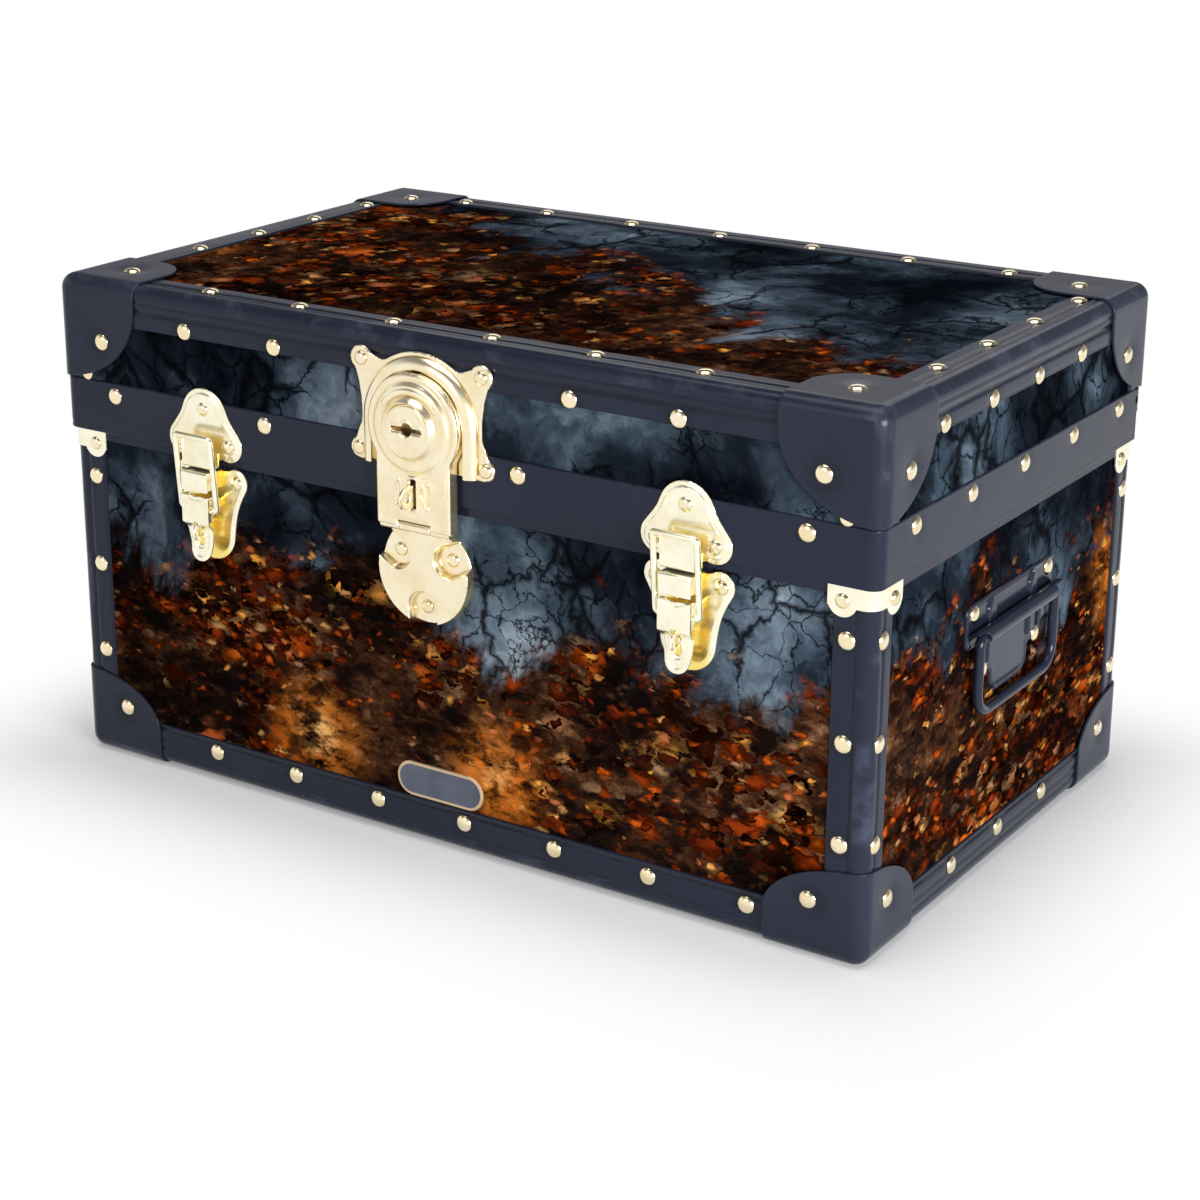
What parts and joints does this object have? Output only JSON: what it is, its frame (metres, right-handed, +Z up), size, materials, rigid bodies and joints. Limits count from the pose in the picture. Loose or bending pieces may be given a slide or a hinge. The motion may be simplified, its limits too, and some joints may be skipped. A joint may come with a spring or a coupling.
{
  "type": "tuck box",
  "caption": "Trunk-style tuck box with a hinged lid, metal binding, pressed corner caps, hasp lock, toggle latches and drop handles.",
  "frame": {"origin": "on the floor, under the middle of the outline", "axes": "+X along the front to the right-hand end, +Y from the front to the back, +Z up"},
  "size_m": [0.53, 0.3464, 0.289],
  "materials": {
    "printed_board": "plywood faced with a smoky slate and ember print, satin varnish",
    "navy_binding": "satin dark navy paint on pressed sheet",
    "cap_navy": "satin dark navy paint on pressed corner caps",
    "rivet_brass": "pale brass plate, domed and polished",
    "lock_brass": "brass plate, bright with light wear",
    "hinge_brass": "brass plate, satin",
    "handle_black": "glossy black-navy paint",
    "badge_metal": "blank slate field with a thin gilt border"
  },
  "bodies": {
    "base": {"badge_plate": "badge_metal", "base_back_board": "printed_board", "base_bottom_board": "printed_board", "base_corner_angles": "navy_binding", "base_corner_cap_back_left": "cap_navy", "base_corner_cap_back_right": "cap_navy", "base_corner_cap_front_left": "cap_navy", "base_corner_cap_front_right": "cap_navy", "base_edge_angle_back": "navy_binding", "base_edge_angle_front": "navy_binding", "base_edge_angle_left": "navy_binding", "base_edge_angle_right": "navy_binding", "base_front_board": "printed_board", "base_left_board": "printed_board", "base_right_board": "printed_board", "base_rim_strips": "navy_binding", "base_rivets": "rivet_brass", "fitting_rivets": "rivet_brass", "handle_left_plate": "handle_black", "handle_right_plate": "handle_black", "hinge_base_leaves": "hinge_brass", "hinge_pins": "hinge_brass", "latch_left_plate": "lock_brass", "latch_pins": "lock_brass", "latch_right_plate": "lock_brass", "lock_base_plate": "lock_brass", "lock_hinge_pin": "lock_brass", "rim_corner_clips": "lock_brass"},
    "lid": {"hinge_lid_leaves": "hinge_brass", "latch_left_strike": "lock_brass", "latch_right_strike": "lock_brass", "lid_back_board": "printed_board", "lid_corner_angles": "navy_binding", "lid_corner_cap_back_left": "cap_navy", "lid_corner_cap_back_right": "cap_navy", "lid_corner_cap_front_left": "cap_navy", "lid_corner_cap_front_right": "cap_navy", "lid_edge_angle_back": "navy_binding", "lid_edge_angle_front": "navy_binding", "lid_edge_angle_left": "navy_binding", "lid_edge_angle_right": "navy_binding", "lid_front_board": "printed_board", "lid_left_board": "printed_board", "lid_right_board": "printed_board", "lid_rivets": "rivet_brass", "lid_top_board": "printed_board", "lid_valance_band": "navy_binding", "lock_lid_plate": "lock_brass"},
    "left_lever": {"latch_left_lever": "lock_brass"},
    "left_bail": {"latch_left_bail": "lock_brass"},
    "right_lever": {"latch_right_lever": "lock_brass"},
    "right_bail": {"latch_right_bail": "lock_brass"},
    "hasp": {"lock_hasp": "lock_brass", "lock_case": "lock_brass"},
    "tumbler": {"lock_tumbler": "lock_brass"},
    "bolt": {"lock_bolt": "lock_brass"},
    "left_handle": {"handle_left_loop": "handle_black"},
    "right_handle": {"handle_right_loop": "handle_black"}
  },
  "joints": [
    {"name": "lid_hinge", "type": "hinge", "parent": "base", "child": "lid", "pos_m": [0, 0.1703, 0.213], "axis": [-1, 0, 0], "range_deg": [0, 100]},
    {"name": "left_lever_hinge", "type": "hinge", "parent": "base", "child": "left_lever", "pos_m": [-0.154, -0.1596, 0.174], "axis": [-1, 0, 0], "range_deg": [0, 95]},
    {"name": "left_bail_hinge", "type": "hinge", "parent": "left_lever", "child": "left_bail", "pos_m": [-0.154, -0.1596, 0.1683], "axis": [-1, 0, 0], "range_deg": [-123.5, 0]},
    {"name": "right_lever_hinge", "type": "hinge", "parent": "base", "child": "right_lever", "pos_m": [0.154, -0.1596, 0.174], "axis": [-1, 0, 0], "range_deg": [0, 95]},
    {"name": "right_bail_hinge", "type": "hinge", "parent": "right_lever", "child": "right_bail", "pos_m": [0.154, -0.1596, 0.1683], "axis": [-1, 0, 0], "range_deg": [-123.5, 0]},
    {"name": "hasp_hinge", "type": "hinge", "parent": "base", "child": "hasp", "pos_m": [-0.005, -0.1585, 0.184], "axis": [1, 0, 0], "range_deg": [0, 150]},
    {"name": "tumbler_turn", "type": "hinge", "parent": "hasp", "child": "tumbler", "pos_m": [-0.005, -0.1587, 0.2385], "axis": [0, -1, 0], "range_deg": [0, 90]},
    {"name": "bolt_slide", "type": "slide", "parent": "hasp", "child": "bolt", "axis": [1, 0, 0], "range_m": [0, 0.009]},
    {"name": "left_handle_hinge", "type": "hinge", "parent": "base", "child": "left_handle", "pos_m": [-0.2605, 0.0073, 0.1405], "axis": [0, 1, 0], "range_deg": [0, 85]},
    {"name": "right_handle_hinge", "type": "hinge", "parent": "base", "child": "right_handle", "pos_m": [0.2605, 0.0073, 0.1405], "axis": [0, -1, 0], "range_deg": [0, 85]}
  ],
  "couplings": [
    {"joint": "left_bail_hinge", "follows": "left_lever_hinge", "ratio": -1.3},
    {"joint": "right_bail_hinge", "follows": "right_lever_hinge", "ratio": -1.3},
    {"joint": "bolt_slide", "follows": "tumbler_turn", "m_per_rad": 0.0057}
  ]
}
